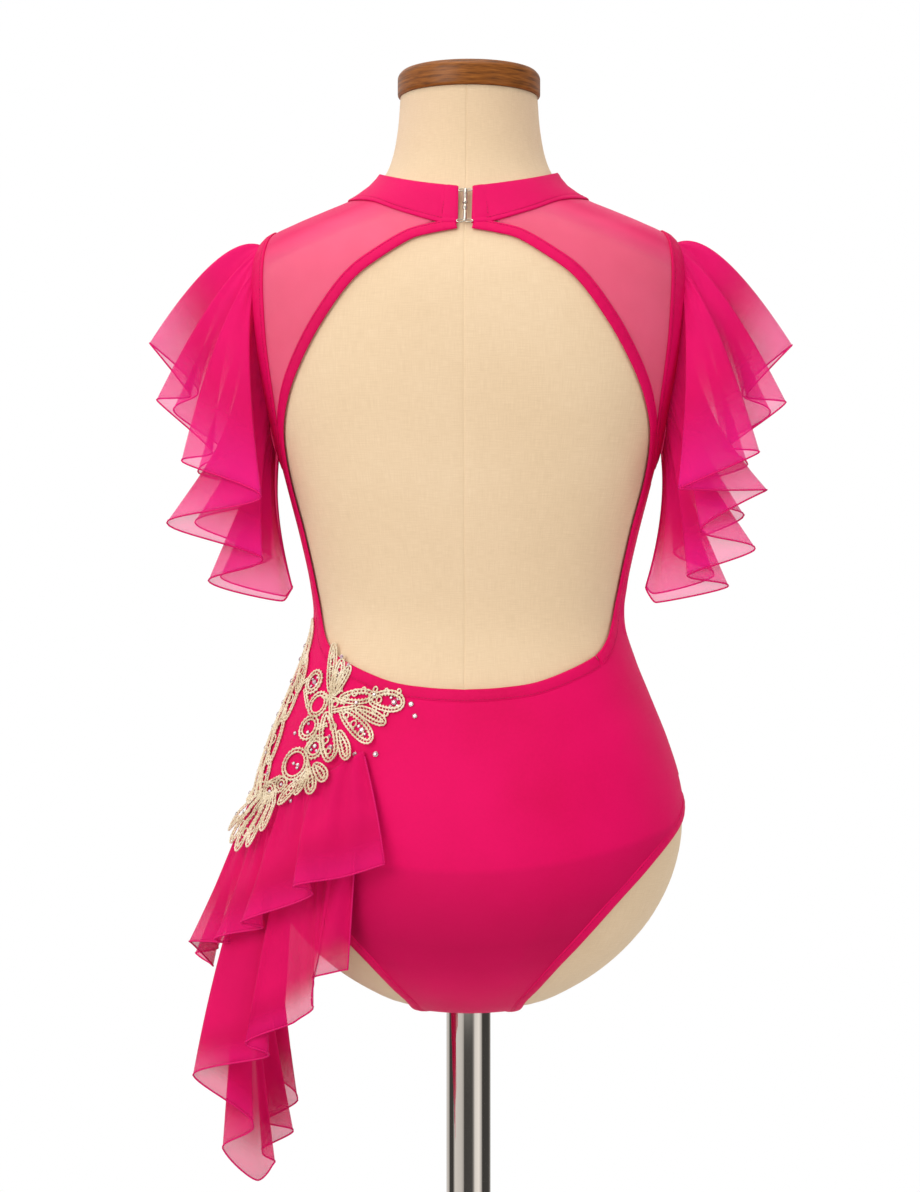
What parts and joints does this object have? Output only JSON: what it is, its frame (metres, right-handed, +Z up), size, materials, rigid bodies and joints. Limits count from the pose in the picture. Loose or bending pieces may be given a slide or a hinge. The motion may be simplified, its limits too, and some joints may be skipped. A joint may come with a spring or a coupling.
{
  "type": "lyrical dance bodysuit on a limbless dress form and stand",
  "caption": "Backless lyrical dance bodysuit with flutter sleeves, hip drape and lace, on a limbless dress form with pole and disc base.",
  "frame": {"origin": "centre of the base's flat underside, on the floor", "axes": "+Z up the pole, +Y out through the wearer's front, so the bodysuit's back faces -Y; +X towards the wearer's right"},
  "size_m": [0.5152, 0.304, 1.5309],
  "materials": {
    "spandex": "satin four-way stretch knit",
    "binding": "folded stretch binding",
    "power_mesh": "sheer stretch mesh",
    "chiffon": "sheer chiffon with rolled hems",
    "cord_lace": "corded guipure lace",
    "silver_wire": "bright wire",
    "linen": "woven linen cover",
    "stained_wood": "stained and satin varnished",
    "chrome_plate": "polished plate"
  },
  "bodies": {
    "root": {"collar": "spandex", "yoke_right": "power_mesh", "yoke_left": "power_mesh", "back_panel": "spandex", "front_panel": "spandex", "opening_binding_right": "binding", "opening_binding_left": "binding", "low_back_hem": "binding", "armhole_binding_right": "binding", "armhole_binding_left": "binding", "leg_binding_right": "binding", "leg_binding_left": "binding", "flutter_sleeve_left": "chiffon", "flutter_sleeve_right": "chiffon", "hip_drape_upper": "chiffon", "hip_drape_lower": "chiffon", "lace_applique": "cord_lace", "closure_eye": "silver_wire", "closure_hook": "silver_wire", "form_torso": "linen", "neck_cap": "stained_wood", "base": "chrome_plate", "pole": "chrome_plate"}
  },
  "joints": []
}
